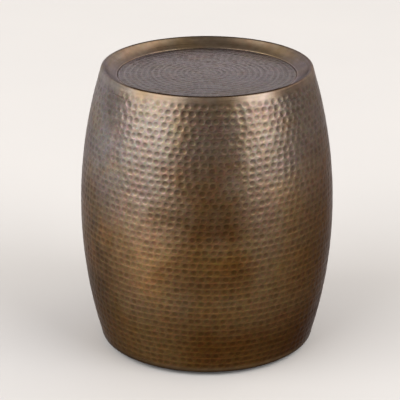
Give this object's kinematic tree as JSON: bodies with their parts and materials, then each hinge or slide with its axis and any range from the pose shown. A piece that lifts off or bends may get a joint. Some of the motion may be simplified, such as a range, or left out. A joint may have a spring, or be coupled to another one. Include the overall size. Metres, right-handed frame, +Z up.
{
  "type": "drum side table",
  "caption": "Barrel-shaped side table of hammered brass sheet, with a rolled rim, a shallow dished top and recessed rubber feet.",
  "frame": {"origin": "on the floor under the middle of the table", "axes": "+Z up along the table's axis; -Y faces the viewer; two of the feet stand at the front"},
  "size_m": [0.406, 0.406, 0.457],
  "materials": {
    "antique_brass": "hammered antique brass, dark in the hammer marks, burnished on the ridges and the rim",
    "tray_brass": "finely hammered antique brass, satin",
    "mild_steel": "bare mild steel",
    "blackened_steel": "blackened steel",
    "felt": "dark grey felt",
    "black_rubber": "matt black rubber",
    "zinc_fastener": "zinc plated"
  },
  "bodies": {
    "root": {"barrel_shell": "antique_brass", "hammered_top": "tray_brass", "hem_wire": "mild_steel", "base_ring": "blackened_steel", "neck_ring": "blackened_steel", "cross_bar_lower": "blackened_steel", "cross_bar_upper": "blackened_steel", "bar_rivets": "mild_steel", "felt_pads": "felt", "foot_front_right": "black_rubber", "foot_back_right": "black_rubber", "foot_back_left": "black_rubber", "foot_front_left": "black_rubber", "foot_screws": "zinc_fastener", "foot_washers": "zinc_fastener", "foot_nuts": "zinc_fastener"}
  },
  "joints": []
}
